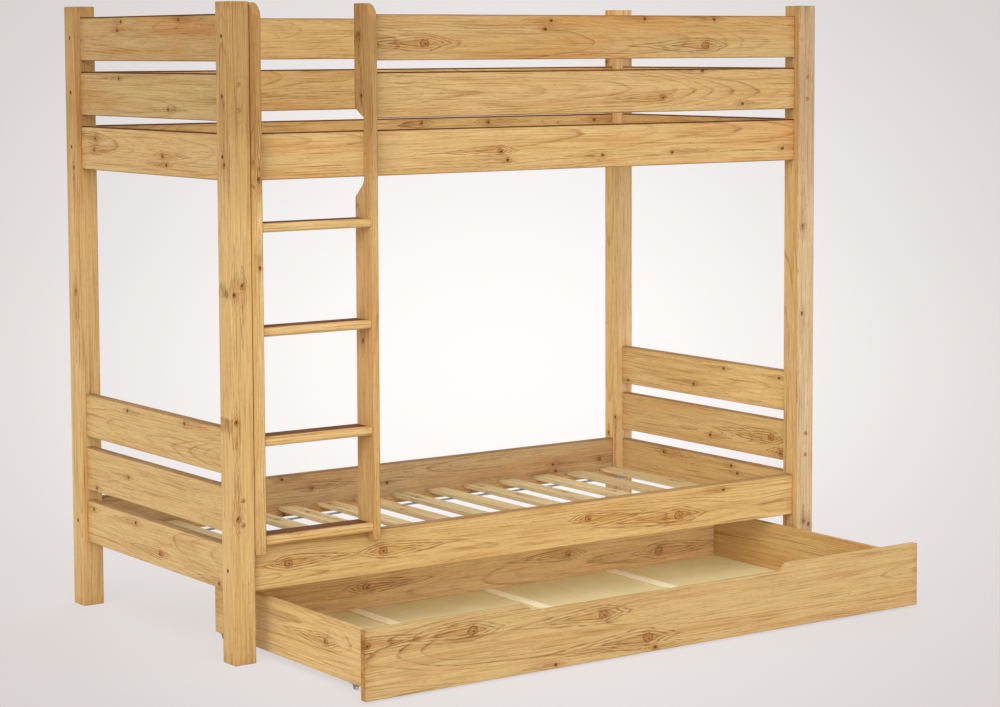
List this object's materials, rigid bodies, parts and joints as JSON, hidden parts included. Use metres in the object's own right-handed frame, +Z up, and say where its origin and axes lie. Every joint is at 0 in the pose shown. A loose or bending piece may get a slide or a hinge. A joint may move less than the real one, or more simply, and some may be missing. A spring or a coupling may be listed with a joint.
{
  "type": "bunk bed",
  "caption": "Solid pine bunk bed with slatted bases, front ladder with an open way onto the upper bunk, guard boards all round and a wide bed drawer on small castors underneath.",
  "frame": {"origin": "on the floor, under the middle of the outline of the bed with its drawer drawn out as pictured", "axes": "+X along the bed to its right-hand end as seen from the ladder side, +Y from the ladder side to the back, +Z up"},
  "size_m": [2.1, 1.549, 1.805],
  "materials": {
    "pine": "honey-coloured oiled solid pine with grain and knots, satin",
    "slat_pine": "pale untreated sawn pine slats on grey-blue straps, matt",
    "batten_pine": "pale planed pine, matt",
    "hardboard": "beige faced hardboard, matt",
    "steel": "pressed zinc-plated steel, darkened",
    "nylon": "off-white nylon"
  },
  "bodies": {
    "bed_frame": {"post_front_left": "pine", "post_front_right": "pine", "post_rear_left": "pine", "post_rear_right": "pine", "lower_left_end_board_1": "pine", "lower_left_end_board_2": "pine", "lower_left_end_board_3": "pine", "upper_left_end_board_1": "pine", "upper_left_end_board_2": "pine", "upper_left_end_board_3": "pine", "lower_right_end_board_1": "pine", "lower_right_end_board_2": "pine", "lower_right_end_board_3": "pine", "upper_right_end_board_1": "pine", "upper_right_end_board_2": "pine", "upper_right_end_board_3": "pine", "lower_front_rail": "pine", "lower_rear_rail": "pine", "upper_front_rail": "pine", "upper_rear_rail": "pine", "front_guard_1": "pine", "front_guard_2": "pine", "rear_guard_1": "pine", "rear_guard_2": "pine", "lower_front_ledger": "pine", "lower_rear_ledger": "pine", "upper_front_ledger": "pine", "upper_rear_ledger": "pine", "ladder_stile_left": "pine", "ladder_stile_right": "pine", "ladder_rung_1": "pine", "ladder_rung_2": "pine", "ladder_rung_3": "pine", "ladder_rung_4": "pine", "lower_slat_mat": "slat_pine", "upper_slat_mat": "slat_pine"},
    "drawer": {"drawer_front": "pine", "drawer_back": "pine", "drawer_side_left": "pine", "drawer_side_right": "pine", "drawer_panel_1": "hardboard", "drawer_panel_2": "hardboard", "drawer_panel_3": "hardboard", "drawer_panel_4": "hardboard", "drawer_batten_1": "batten_pine", "drawer_batten_2": "batten_pine", "drawer_batten_3": "batten_pine", "castor_bracket_front_left": "steel", "castor_bracket_front_right": "steel", "castor_bracket_rear_left": "steel", "castor_bracket_rear_right": "steel"},
    "wheel_front_left": {"castor_wheel_front_left": "nylon"},
    "wheel_front_right": {"castor_wheel_front_right": "nylon"},
    "wheel_rear_left": {"castor_wheel_rear_left": "nylon"},
    "wheel_rear_right": {"castor_wheel_rear_right": "nylon"}
  },
  "joints": [
    {"name": "drawer_slide", "type": "slide", "parent": "bed_frame", "child": "drawer", "axis": [0, 1, 0], "range_m": [-0.35, 0.551]},
    {"name": "wheel_front_left_turn", "type": "hinge", "parent": "drawer", "child": "wheel_front_left", "pos_m": [-0.917, -0.6345, 0.0075], "axis": [1, 0, 0], "continuous": true},
    {"name": "wheel_front_right_turn", "type": "hinge", "parent": "drawer", "child": "wheel_front_right", "pos_m": [0.917, -0.6345, 0.0075], "axis": [1, 0, 0], "continuous": true},
    {"name": "wheel_rear_left_turn", "type": "hinge", "parent": "drawer", "child": "wheel_rear_left", "pos_m": [-0.917, 0.0745, 0.0075], "axis": [1, 0, 0], "continuous": true},
    {"name": "wheel_rear_right_turn", "type": "hinge", "parent": "drawer", "child": "wheel_rear_right", "pos_m": [0.917, 0.0745, 0.0075], "axis": [1, 0, 0], "continuous": true}
  ],
  "couplings": [
    {"joint": "wheel_front_left_turn", "follows": "drawer_slide", "rad_per_m": -133.33},
    {"joint": "wheel_front_right_turn", "follows": "drawer_slide", "rad_per_m": -133.33},
    {"joint": "wheel_rear_left_turn", "follows": "drawer_slide", "rad_per_m": -133.33},
    {"joint": "wheel_rear_right_turn", "follows": "drawer_slide", "rad_per_m": -133.33}
  ]
}
